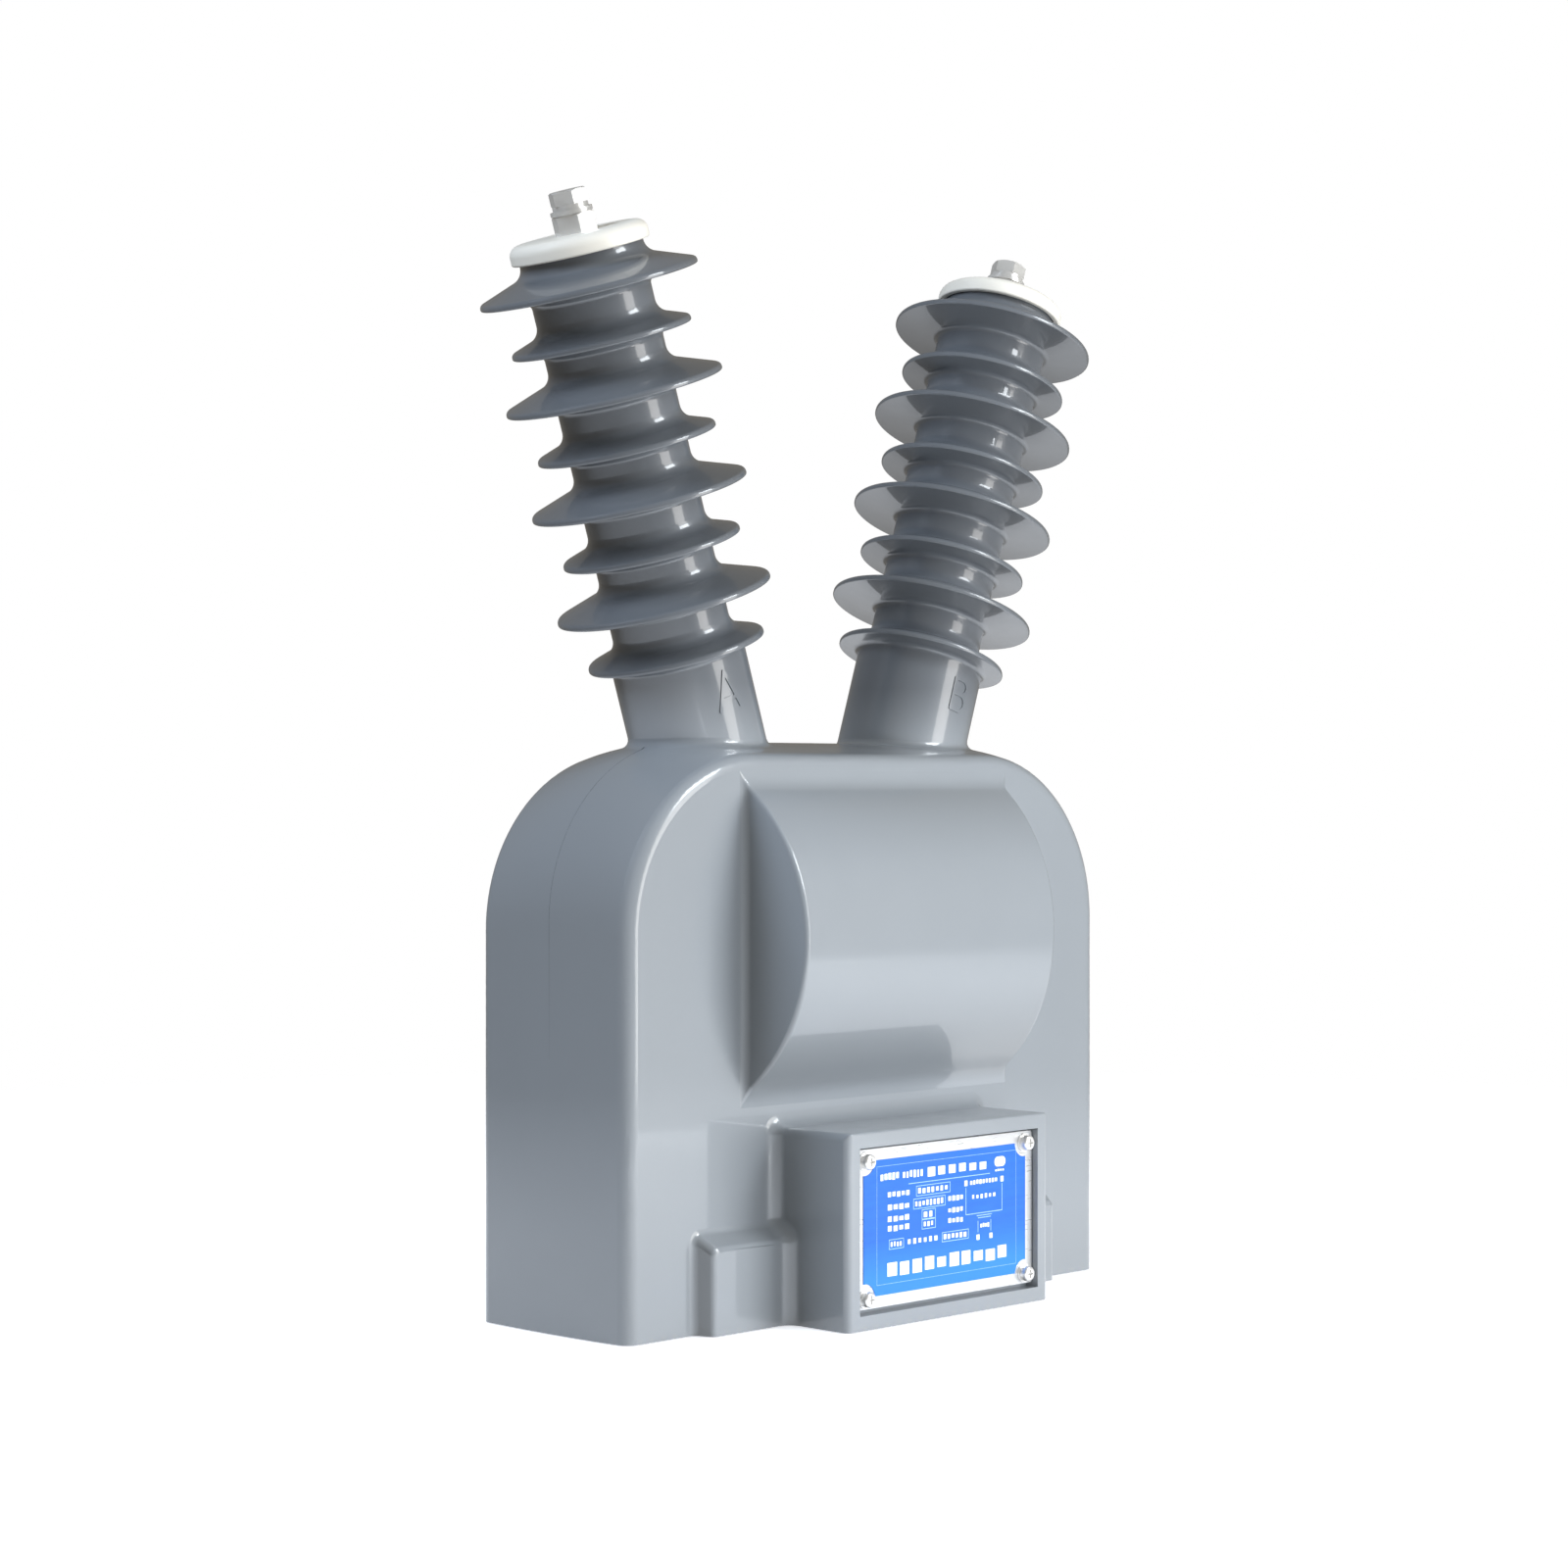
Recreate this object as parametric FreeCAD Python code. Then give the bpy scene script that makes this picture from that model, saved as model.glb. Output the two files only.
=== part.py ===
"""Outdoor cast-resin voltage transformer with two ribbed high-voltage bushings.

Units are millimetres. +Z is up, the base lies on z = 0 and the origin is the centre of the base bolt pattern.
+X runs across the front from bushing A to bushing B, and the terminal box faces -Y.
A bushing piece is drawn about its own +Z axis, z measured along the bushing, and is then tilted into place.
A terminal box piece is drawn about +Z pointing out of the box, and is then turned so that +Z becomes -Y.
"""
import FreeCAD, Part
import math
import os

from FreeCAD import Placement, Rotation, Vector

# Body of the casting
BODY_DEPTH = 102.0
BODY_FACE_HALF_WIDTH = 166.5
BODY_FACE_TOP = 267.0
BODY_MID_HALF_WIDTH = 168.5
BODY_MID_TOP = 274.0
SHOULDER_R = 84.0
BODY_EDGE_R = 7.0
FOOT_TRIM = 10.0
FACE_Y = BODY_DEPTH / 2

# Barrel over the coil, on the front and on the back
COIL_Z = 181.0
BARREL_R = 89.0
BARREL_FACE_HALF = 92.0
BARREL_RIM_HALF = 89.0
BARREL_RIM_R = 2.0
BARREL_JOIN_R = 14.0
BARREL_END_JOIN_R = 4.0
BARREL_SINK = 0.05

# Foot block, on the front and on the back
BLOCK_FRONT_Y = 60.8
BLOCK_FRONT_HALF = 121.4
BLOCK_FRONT_TOP = 40.0
BLOCK_SIDE_DRAFT = 0.38
BLOCK_TOP_DRAFT = 0.66
BLOCK_SINK = 5.0
BLOCK_CORNER_R = 4.0
BLOCK_EDGE_R = 3.0
BLOCK_JOIN_R = 4.0

# Terminal box
BOX_HALF = 72.0
BOX_TOP = 92.0
BOX_FRONT_Y = -98.5
BOX_CORNER_R = 3.5
BOX_LIP_R = 1.0
BOX_JOIN_R = 7.0
RECESS_HALF = 63.8
RECESS_BOTTOM = 6.8
RECESS_TOP = 84.7
LEDGE_Y = -91.0
CAVITY_HALF = 60.0
CAVITY_BOTTOM = 10.0
CAVITY_TOP = 82.0
CAVITY_BACK_Y = -50.0
POST_SIZE = 12.0

# Bushings
TILT_DEG = math.degrees(0.3213)
AXIS_FOOT_X = -18.34
NECK_R = 32.5
NECK_START = 200.0
NECK_TOP = 326.5
NECK_FOOT_R = 4.0
CORE_R = 28.5
TOP_CORE_R = 29.5
SHED_COUNT = 8
TOP_SHED_S = 513.36
SHED_PITCH = 25.457
LARGE_SHED_R = 52.0
SMALL_SHED_R = 43.0
SHED_RIM = 2.6
SHED_TOP_SLOPE = math.tan(math.radians(20.0))
SHED_UNDER_SLOPE = math.tan(math.radians(5.0))
SHED_TOP_ROOT_R = 7.0
SHED_UNDER_ROOT_R = 3.0
RIM_TOP_ROUND = 2.2
RIM_UNDER_ROUND = 0.7

# Raised terminal letters on the necks
LETTER_STROKE = 1.7
LETTER_PROUD = 0.5
LETTER_ROOT = 1.5
LETTER_A_APEX = (-3.7, 324.6)
LETTER_A_FEET = ((-9.7, 306.5), (2.3, 306.5))
LETTER_A_BAR = 0.27
LETTER_B_STEM_X = -5.0
LETTER_B_LEVELS = (306.5, 314.9, 322.6)
LETTER_B_BOWL_X = 0.0

# High-voltage terminal, measured along the bushing
CAP_BOTTOM = 528.7
CAP_R = 33.0
CAP_HEIGHT = 9.0
CAP_POCKET = 5.0
CAP_POCKET_R = 29.8
CAP_EDGE_R = 5.0
CAP_SKIRT_R = 1.0
INSERT_BOTTOM = 478.7
INSERT_R = 8.0
INSERT_GROOVE_R = 6.8
INSERT_HEX_FLATS = 18.0
INSERT_HEX_HEIGHT = 9.0
INSERT_HOLE_DEPTH = 19.0
LEAD_R = 3.0
LEAD_SOCKET = 10.0
LEAD_START = 268.0
BOLT_HOLE_R = 5.0
BOLT_R = 4.95
BOLT_LENGTH = 20.0
BOLT_HEAD_FLATS = 16.0
BOLT_HEAD_HEIGHT = 6.4
BOLT_WASHER = (5.3, 10.0, 2.0)
BOLT_SPRING = (5.2, 8.5, 2.5)

# Active part
CORE_HALF_DEPTH = 20.0
CORE_HALF_WIDTH = 126.0
CORE_SECTION = 38.0
CORE_WINDOW_BOTTOM = 97.0
CORE_OUTER_R = 14.0
CORE_WINDOW_R = 4.0
BAND_THICKNESS = 0.8
BAND_HALF_WIDTH = 10.0
FORMER = (30.0, 33.0, 76.0)
FORMER_FLANGE = (41.0, 3.0)
SECONDARY = (33.0, 41.0, 72.0)
BARRIER = (41.0, 46.0, 76.0)
PRIMARY = (46.0, 78.0, 70.0)
PRIMARY_SECTIONS = 5
PRIMARY_GAP = 4.0
SHIELD = (78.0, 79.0, 52.0)
SHIELD_SLOT = 3.0

# Base inserts
BASE_BOLT_X = 100.0
BASE_BOLT_Y = 40.0
BASE_INSERT_R = 10.0
BASE_INSERT_LENGTH = 32.0
BASE_HOLE_R = 6.0
BASE_HOLE_DEPTH = 26.0

# Low-voltage terminals inside the box
BOARD_HALF = 44.0
BOARD_BOTTOM = 24.0
BOARD_TOP = 66.0
BOARD_THICKNESS = 6.0
STUDS = {"1a": (-30.0, 52.0), "1b": (30.0, 52.0), "earth": (0.0, 38.0)}
STUD_R = 3.0
STUD_ROOT_Y = -44.0
STUD_TIP_Y = -78.0
STUD_HEAD_R = 6.0
STUD_HEAD_HEIGHT = 3.0
NUT_HOLE_R = 3.05
NUT_FLATS = 10.0
NUT_HEIGHT = 5.0
NUT_WASHER = (3.2, 6.0, 1.6)
WIRE_R = 1.5
SECONDARY_LEAD_X = 82.0
SECONDARY_LEAD_Y = -37.0
EARTH_LEAD_Y = -35.0
EARTH_LEAD_Z = 78.0

# Cable entry in the floor of the box
GROMMET_X = 15.0
GROMMET_Y = -73.0
GROMMET_BORE_R = 6.5
GROMMET_R = 10.0
GROMMET_FLANGE_R = 12.5
GROMMET_FLANGE = 2.5
GROMMET_RAISE = 1.0

# Cover and its screws
COVER_HALF = 63.3
COVER_BOTTOM = 9.0
COVER_TOP = 83.5
COVER_THICKNESS = 2.0
COVER_CORNER_R = 1.0
GASKET_THICKNESS = 2.0
GASKET_INSET = 0.8
GASKET_OPENING_HALF = 50.5
GASKET_OPENING_BOTTOM = 21.0
GASKET_OPENING_TOP = 71.0
LABEL_HALF = 58.0
LABEL_BOTTOM = 14.5
LABEL_TOP = 78.0
LABEL_THICKNESS = 0.4
LABEL_CORNER_CUT = 6.8
SCREW_X = 57.0
SCREW_LOW_Z = 14.0
SCREW_HIGH_Z = 78.0
SCREW_R = 1.95
SCREW_HOLE_R = 2.0
SCREW_CLEARANCE_R = 2.25
SCREW_LENGTH = 16.0
SCREW_HEAD_R = 3.7
SCREW_HEAD_HEIGHT = 2.8
SCREW_RECESS = (4.0, 0.9, 1.5)
SCREW_WASHER = (2.2, 4.5, 0.8)
SCREW_SPRING = (2.1, 3.6, 1.1)
COVER_INSERT_R = 4.0
COVER_INSERT_LENGTH = 13.0
COVER_INSERT_FLOOR = 2.0

SPRING_WASHER_SPLIT = 0.9
SPLIT_SLANT_DEG = 25.0
OUT = "parts"
SIDES = {"a": -1, "b": 1}
Y_AXIS = Vector(0, 1, 0)
TOLERANCE = 0.05


# Helpers

def save(node, *solids):
    """Writes the solids as one node, and checks that each is a sound solid."""
    for solid in solids:
        if not solid.isValid() or len(solid.Solids) != 1:
            raise ValueError(node + " holds a shape that is not one sound solid")
    shape = solids[0] if len(solids) == 1 else Part.makeCompound(list(solids))
    shape.exportStep(os.path.join(OUT, node + ".step"))


def box(x_range, y_range, z_range):
    low = Vector(x_range[0], y_range[0], z_range[0])
    return Part.makeBox(x_range[1] - x_range[0], y_range[1] - y_range[0], z_range[1] - z_range[0], low)


def rod(radius, start, end):
    """A cylinder about the local Z axis."""
    return Part.makeCylinder(radius, end - start, Vector(0, 0, start))


def ring(r_in, r_out, start, end):
    return rod(r_out, start, end).cut(rod(r_in, start, end))


def x_tube(r_in, r_out, half_length):
    """A tube about the coil's axis, which runs along X."""
    start = Vector(-half_length, 0, COIL_Z)
    outer = Part.makeCylinder(r_out, 2 * half_length, start, Vector(1, 0, 0))
    return outer.cut(Part.makeCylinder(r_in, 2 * half_length, start, Vector(1, 0, 0)))


def hexagon(flats, start, end):
    """A hexagonal prism about the local Z axis, with its top corners turned off at 30 degrees."""
    corner_r = flats / math.sqrt(3)
    corners = [Vector(corner_r * math.cos(math.pi * k / 3), corner_r * math.sin(math.pi * k / 3), start)
               for k in range(7)]
    prism = Part.Face(Part.makePolygon(corners)).extrude(Vector(0, 0, end - start))
    reach = flats / 2
    chamfer = Part.makeCone(reach + (end - start) * math.sqrt(3), reach, end - start, Vector(0, 0, start))
    return prism.common(chamfer)


def washer(sizes, start):
    r_in, r_out, height = sizes
    return ring(r_in, r_out, start, start + height)


def spring_washer(sizes, start):
    """A lock washer, cut through at a slant."""
    r_in, r_out, height = sizes
    split = box((0, 2 * r_out), (-SPRING_WASHER_SPLIT / 2, SPRING_WASHER_SPLIT / 2), (-height, 2 * height))
    split.rotate(Vector(0, 0, height / 2), Vector(1, 0, 0), SPLIT_SLANT_DEG)
    split.translate(Vector(0, 0, start))
    return washer(sizes, start).cut(split)


def largest_solid(shape):
    """Cast resin without the loose plugs that a cut leaves inside the hollows of cast-in pieces."""
    return max(shape.Solids, key=lambda solid: solid.Volume)


def placed(shape, placement):
    moved = shape.copy()
    moved.Placement = placement.multiply(moved.Placement)
    return moved


def on_bushing(shape, side):
    foot = Vector(side * AXIS_FOOT_X, 0, 0)
    return placed(shape, Placement(foot, Rotation(Y_AXIS, side * TILT_DEG)))


def out_of_box(shape, x, z):
    """Turns a piece drawn about +Z to point along -Y, on the line at x, z."""
    return placed(shape, Placement(Vector(x, 0, z), Rotation(Vector(1, 0, 0), 90)))


def edges_where(shape, test):
    return [edge for edge in shape.Edges if test(edge.BoundBox)]


def lies_at_y(bounds, y):
    return abs(bounds.YMin - y) < TOLERANCE and abs(bounds.YMax - y) < TOLERANCE


def reach_x(bounds):
    return max(abs(bounds.XMin), abs(bounds.XMax))


def rounded_profile(corners):
    """A closed wire in the XZ plane through (x, z, radius) corners, each rounded by its radius."""
    count = len(corners)
    points = [Vector(x, 0, z) for x, z, _ in corners]
    starts = []
    ends = []
    edges = []
    for k, (_, _, radius) in enumerate(corners):
        here = points[k]
        back = (points[k - 1] - here).normalize()
        ahead = (points[(k + 1) % count] - here).normalize()
        half_turn = back.getAngle(ahead) / 2
        setback = radius / math.tan(half_turn)
        starts.append(here + back * setback)
        ends.append(here + ahead * setback)
        if radius > 0:
            inward = (back + ahead).normalize()
            nearest = here + inward * (radius / math.sin(half_turn) - radius)
            edges.append(Part.Arc(starts[k], nearest, ends[k]).toShape())
    for k in range(count):
        edges.append(Part.LineSegment(ends[k], starts[(k + 1) % count]).toShape())
    return Part.Wire(Part.__sortEdges__(edges))


def turned(corners):
    """A solid of revolution about the local Z axis."""
    return Part.Face(rounded_profile(corners)).revolve(Vector(0, 0, 0), Vector(0, 0, 1), 360)


def wire_run(points):
    """A round wire along straight runs, with a ball at each bend."""
    run = None
    for start, end in zip(points, points[1:]):
        piece = Part.makeCylinder(WIRE_R, (end - start).Length, start, end - start)
        run = piece if run is None else run.fuse(piece)
    for bend in points[1:-1]:
        run = run.fuse(Part.makeSphere(WIRE_R, bend))
    return run


# Resin casting

def body_outline(y, half_width, top):
    """Straight sides and two round shoulders, in the plane at y, with some length below the foot to trim."""
    centre_x = half_width - SHOULDER_R
    centre_z = top - SHOULDER_R
    lean = SHOULDER_R / math.sqrt(2)
    left = [Vector(-half_width, y, -FOOT_TRIM), Vector(-half_width, y, centre_z), Vector(-centre_x, y, top)]
    right = [Vector(centre_x, y, top), Vector(half_width, y, centre_z), Vector(half_width, y, -FOOT_TRIM)]
    return Part.Wire([
        Part.LineSegment(left[0], left[1]).toShape(),
        Part.Arc(left[1], Vector(-centre_x - lean, y, centre_z + lean), left[2]).toShape(),
        Part.LineSegment(left[2], right[0]).toShape(),
        Part.Arc(right[0], Vector(centre_x + lean, y, centre_z + lean), right[1]).toShape(),
        Part.LineSegment(right[1], right[2]).toShape(),
        Part.LineSegment(right[2], left[0]).toShape()])


def make_slab():
    """The body, crowned from its middle plane to its front and back faces."""
    face_front = body_outline(-FACE_Y, BODY_FACE_HALF_WIDTH, BODY_FACE_TOP)
    middle = body_outline(0, BODY_MID_HALF_WIDTH, BODY_MID_TOP)
    face_back = body_outline(FACE_Y, BODY_FACE_HALF_WIDTH, BODY_FACE_TOP)
    slab = Part.makeLoft([face_front, middle, face_back], True, False)
    reach = 2 * BODY_MID_HALF_WIDTH
    slab = slab.cut(box((-reach, reach), (-reach, reach), (-2 * FOOT_TRIM, 0)))
    rim = edges_where(slab, lambda b: b.ZMax > 1 and (lies_at_y(b, FACE_Y) or lies_at_y(b, -FACE_Y)))
    return slab.makeFillet(BODY_EDGE_R, rim)


def distance_from_axis(point, side):
    foot = Vector(side * AXIS_FOOT_X, 0, 0)
    axis = Rotation(Y_AXIS, side * TILT_DEG).multVec(Vector(0, 0, 1))
    return point.distanceToLine(foot, axis)


def add_necks(slab):
    """Both bushing necks, with a round fillet at their feet."""
    for side in SIDES.values():
        slab = slab.fuse(on_bushing(rod(NECK_R, NECK_START, NECK_TOP), side))
    feet = []
    for edge in slab.Edges:
        middle = edge.valueAt((edge.FirstParameter + edge.LastParameter) / 2)
        on_neck = min(abs(distance_from_axis(middle, side) - NECK_R) for side in SIDES.values())
        if on_neck < TOLERANCE and edge.BoundBox.ZMax < BODY_MID_TOP + 1:
            feet.append(edge)
    return slab.makeFillet(NECK_FOOT_R, feet)


def make_barrel():
    """The half round swelling over the coil, on the front.

    Its section has the soft blends that run out into the body. Its plan gives the drafted ends and their joins.
    """
    plane = FACE_Y - BARREL_SINK
    root = FACE_Y - BLOCK_SINK
    blend_y = plane + BARREL_JOIN_R
    blend_z = math.sqrt((BARREL_R + BARREL_JOIN_R) ** 2 - blend_y ** 2)
    centre = Vector(0, blend_y, blend_z)
    touch = centre * (BARREL_R / (BARREL_R + BARREL_JOIN_R))
    inward = Vector(0, -blend_y, -blend_z).normalize() + Vector(0, -1, 0)
    belly = centre + inward.normalize() * BARREL_JOIN_R

    def at(y, z):
        return Vector(-2 * BARREL_FACE_HALF, -y, COIL_Z + z)

    section = Part.Wire([
        Part.Arc(at(plane, blend_z), at(belly.y, belly.z), at(touch.y, touch.z)).toShape(),
        Part.Arc(at(touch.y, touch.z), at(BARREL_R, 0), at(touch.y, -touch.z)).toShape(),
        Part.Arc(at(touch.y, -touch.z), at(belly.y, -belly.z), at(plane, -blend_z)).toShape(),
        Part.LineSegment(at(plane, -blend_z), at(root, -blend_z)).toShape(),
        Part.LineSegment(at(root, -blend_z), at(root, blend_z)).toShape(),
        Part.LineSegment(at(root, blend_z), at(plane, blend_z)).toShape()])
    swelling = Part.Face(section).extrude(Vector(4 * BARREL_FACE_HALF, 0, 0))

    draft = (BARREL_FACE_HALF - BARREL_RIM_HALF) / (BARREL_R - FACE_Y)
    tip = BARREL_R + BARREL_RIM_R
    tip_half = BARREL_FACE_HALF - draft * (tip - FACE_Y)
    reach = BARREL_FACE_HALF + 2 * BARREL_END_JOIN_R
    plan = Part.Face(rounded_profile([
        (-reach, plane, 0), (-BARREL_FACE_HALF, plane, BARREL_END_JOIN_R), (-tip_half, tip, 0),
        (tip_half, tip, 0), (BARREL_FACE_HALF, plane, BARREL_END_JOIN_R), (reach, plane, 0),
        (reach, root, 0), (-reach, root, 0)]))
    plan.rotate(Vector(0, 0, 0), Vector(1, 0, 0), 90)
    barrel = swelling.common(plan.extrude(Vector(0, 0, 2 * COIL_Z)))
    rims = edges_where(barrel, lambda b: b.ZMax - b.ZMin > BARREL_R and b.YMin < -FACE_Y - BARREL_R / 4)
    return barrel.makeFillet(BARREL_RIM_R, rims)


def add_barrels(casting):
    front = make_barrel()
    return casting.fuse([front, front.mirror(Vector(0, 0, 0), Y_AXIS)])


def make_block(face):
    """A low drafted block along the foot of the front (-1) or back (1) face."""
    run = BLOCK_FRONT_Y - (FACE_Y - BLOCK_SINK)
    root_half = BLOCK_FRONT_HALF + BLOCK_SIDE_DRAFT * run
    root_top = BLOCK_FRONT_TOP + BLOCK_TOP_DRAFT * run

    def section(y, half, top):
        return Part.makePolygon([Vector(-half, y, 0), Vector(half, y, 0), Vector(half, y, top),
                                 Vector(-half, y, top), Vector(-half, y, 0)])

    block = Part.makeLoft([section(face * (FACE_Y - BLOCK_SINK), root_half, root_top),
                           section(face * BLOCK_FRONT_Y, BLOCK_FRONT_HALF, BLOCK_FRONT_TOP)], True, True)
    slopes = edges_where(block, lambda b: b.YMax - b.YMin > run / 2 and b.ZMax > BLOCK_FRONT_TOP)
    return block.makeFillet(BLOCK_CORNER_R, slopes)


def add_blocks(casting):
    casting = casting.fuse([make_block(-1), make_block(1)])
    join = edges_where(casting, lambda b: (lies_at_y(b, -FACE_Y) or lies_at_y(b, FACE_Y))
                       and 1 < b.ZMax < COIL_Z - BARREL_R
                       and reach_x(b) < BODY_FACE_HALF_WIDTH - 2 * BODY_EDGE_R)
    casting = casting.makeFillet(BLOCK_JOIN_R, join)
    outline = edges_where(casting, lambda b: b.ZMax > 1
                          and (lies_at_y(b, -BLOCK_FRONT_Y) or lies_at_y(b, BLOCK_FRONT_Y)))
    return casting.makeFillet(BLOCK_EDGE_R, outline)


def make_box_block():
    block = box((-BOX_HALF, BOX_HALF), (BOX_FRONT_Y, -FACE_Y + BLOCK_SINK), (0, BOX_TOP))
    uprights = edges_where(block, lambda b: lies_at_y(b, BOX_FRONT_Y) and b.ZMax - b.ZMin > 1)
    top_edges = edges_where(block, lambda b: b.YMax - b.YMin > 1 and b.ZMin > 1)
    block = block.makeFillet(BOX_CORNER_R, uprights + top_edges)
    lip = edges_where(block, lambda b: lies_at_y(b, BOX_FRONT_Y) and b.ZMax > 1)
    return block.makeFillet(BOX_LIP_R, lip)


def add_terminal_box(casting):
    casting = casting.fuse(make_box_block())
    join = edges_where(casting, lambda b: -BLOCK_FRONT_Y - 1 < b.YMin and b.YMax < -FACE_Y + 1
                       and 1 < b.ZMax < BOX_TOP + 1 and reach_x(b) < BOX_HALF + 1
                       and (b.ZMin > BOX_TOP - 1 or reach_x(b) > BOX_HALF - 1))
    return casting.makeFillet(BOX_JOIN_R, join)


def box_hollow():
    """The recess for the cover and the space behind it, less the four screw posts."""
    recess = box((-RECESS_HALF, RECESS_HALF), (BOX_FRONT_Y - 1, LEDGE_Y), (RECESS_BOTTOM, RECESS_TOP))
    space = box((-CAVITY_HALF, CAVITY_HALF), (LEDGE_Y - 1, CAVITY_BACK_Y), (CAVITY_BOTTOM, CAVITY_TOP))
    for x in (-CAVITY_HALF, CAVITY_HALF - POST_SIZE):
        for z in (CAVITY_BOTTOM, CAVITY_TOP - POST_SIZE):
            space = space.cut(box((x, x + POST_SIZE), (LEDGE_Y, CAVITY_BACK_Y), (z, z + POST_SIZE)))
    return recess.fuse(space)


def stroke(start, end):
    """One straight stroke with round ends, drawn in the local XZ plane and running far through in Y."""
    along = Vector(end[0] - start[0], 0, end[1] - start[1])
    across = Vector(-along.z, 0, along.x).normalize() * (LETTER_STROKE / 2)
    first = Vector(start[0], -2 * NECK_R, start[1])
    last = Vector(end[0], -2 * NECK_R, end[1])
    outline = Part.makePolygon([first + across, last + across, last - across, first - across, first + across])
    solid = Part.Face(outline).extrude(Vector(0, 2 * NECK_R, 0))
    for point in (first, last):
        solid = solid.fuse(Part.makeCylinder(LETTER_STROKE / 2, 2 * NECK_R, point, Y_AXIS))
    return solid


def bowl(low, high):
    """A closed loop of a letter B between two levels: two level strokes and a half round."""
    radius = (high - low) / 2
    centre = Vector(LETTER_B_BOWL_X, -2 * NECK_R, (low + high) / 2)
    curve = Part.makeCylinder(radius + LETTER_STROKE / 2, 2 * NECK_R, centre, Y_AXIS)
    curve = curve.cut(Part.makeCylinder(radius - LETTER_STROKE / 2, 2 * NECK_R, centre, Y_AXIS))
    right_half = box((LETTER_B_BOWL_X, LETTER_B_BOWL_X + 2 * radius), (-2 * NECK_R, 0),
                     (low - radius, high + radius))
    return [curve.common(right_half), stroke((LETTER_B_STEM_X, low), (LETTER_B_BOWL_X, low)),
            stroke((LETTER_B_STEM_X, high), (LETTER_B_BOWL_X, high))]


def letter_strokes(name):
    if name == "a":
        left_foot, right_foot = LETTER_A_FEET
        bar = [tuple(foot[k] + LETTER_A_BAR * (LETTER_A_APEX[k] - foot[k]) for k in (0, 1))
               for foot in LETTER_A_FEET]
        return [stroke(left_foot, LETTER_A_APEX), stroke(right_foot, LETTER_A_APEX), stroke(bar[0], bar[1])]
    low, waist, high = LETTER_B_LEVELS
    stem = stroke((LETTER_B_STEM_X, low), (LETTER_B_STEM_X, high))
    return [stem] + bowl(low, waist) + bowl(waist, high)


def make_letter(name, side):
    """A raised terminal letter that follows the round of the neck."""
    strokes = letter_strokes(name)
    shape = strokes[0].fuse(strokes[1:])
    skin = ring(NECK_R - LETTER_ROOT, NECK_R + LETTER_PROUD, NECK_START, NECK_TOP)
    return on_bushing(shape.common(skin), side)


def make_casting():
    casting = add_necks(make_slab())
    casting = add_barrels(casting)
    casting = add_blocks(casting)
    casting = add_terminal_box(casting)
    casting = casting.fuse([make_letter(name, side) for name, side in SIDES.items()])
    return casting.cut(box_hollow())


def shed_corners(index):
    """Corners (radius along X, place along Z, rounding) of one shed, from its underside up."""
    rim_r = LARGE_SHED_R if index % 2 == 0 else SMALL_SHED_R
    core_below = NECK_R if index == SHED_COUNT - 1 else CORE_R
    core_above = TOP_CORE_R if index == 0 else CORE_R
    middle = TOP_SHED_S - SHED_PITCH * index
    low = middle - SHED_RIM / 2
    high = middle + SHED_RIM / 2
    return [(core_below, low - (rim_r - core_below) * SHED_UNDER_SLOPE, SHED_UNDER_ROOT_R),
            (rim_r, low, RIM_UNDER_ROUND),
            (rim_r, high, RIM_TOP_ROUND),
            (core_above, high + (rim_r - core_above) * SHED_TOP_SLOPE, SHED_TOP_ROOT_R)]


def make_bushing():
    """The ribbed part of a bushing, from the neck to the face under the cap."""
    corners = [(0, NECK_TOP, 0), (NECK_R, NECK_TOP, 0)]
    for index in reversed(range(SHED_COUNT)):
        corners += shed_corners(index)
    end = CAP_BOTTOM + CAP_POCKET
    corners += [(TOP_CORE_R, end, 0), (0, end, 0)]
    return turned(corners)


# High-voltage terminal

CAP_TOP = CAP_BOTTOM + CAP_HEIGHT
HEX_TOP = CAP_TOP + INSERT_HEX_HEIGHT
WASHER_TOP = HEX_TOP + BOLT_WASHER[2]
SPRING_TOP = WASHER_TOP + BOLT_SPRING[2]


def make_cap():
    """A dished metal cap with a round top edge, over the end of the bushing."""
    return turned([(INSERT_R, CAP_BOTTOM + CAP_POCKET, 0), (CAP_POCKET_R, CAP_BOTTOM + CAP_POCKET, 0),
                   (CAP_POCKET_R, CAP_BOTTOM, CAP_SKIRT_R), (CAP_R, CAP_BOTTOM, CAP_SKIRT_R),
                   (CAP_R, CAP_TOP, CAP_EDGE_R), (INSERT_R, CAP_TOP, 0)])


def make_insert():
    """The cast-in terminal: a grooved stem, a hexagon above the cap and a hole for the bolt."""
    stem = rod(INSERT_R, INSERT_BOTTOM, CAP_TOP)
    groove_count = 4
    spacing = (CAP_BOTTOM - INSERT_BOTTOM) / (groove_count + 1)
    for k in range(groove_count):
        start = INSERT_BOTTOM + (k + 1) * spacing
        stem = stem.cut(ring(INSERT_GROOVE_R, INSERT_R + 1, start, start + spacing / 3))
    solid = stem.fuse(hexagon(INSERT_HEX_FLATS, CAP_TOP, HEX_TOP))
    solid = solid.cut(rod(BOLT_HOLE_R, HEX_TOP - INSERT_HOLE_DEPTH, HEX_TOP))
    return solid.cut(rod(LEAD_R, INSERT_BOTTOM, INSERT_BOTTOM + LEAD_SOCKET))


def make_bolt():
    shank = rod(BOLT_R, SPRING_TOP - BOLT_LENGTH, SPRING_TOP)
    return shank.fuse(hexagon(BOLT_HEAD_FLATS, SPRING_TOP, SPRING_TOP + BOLT_HEAD_HEIGHT))


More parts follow.
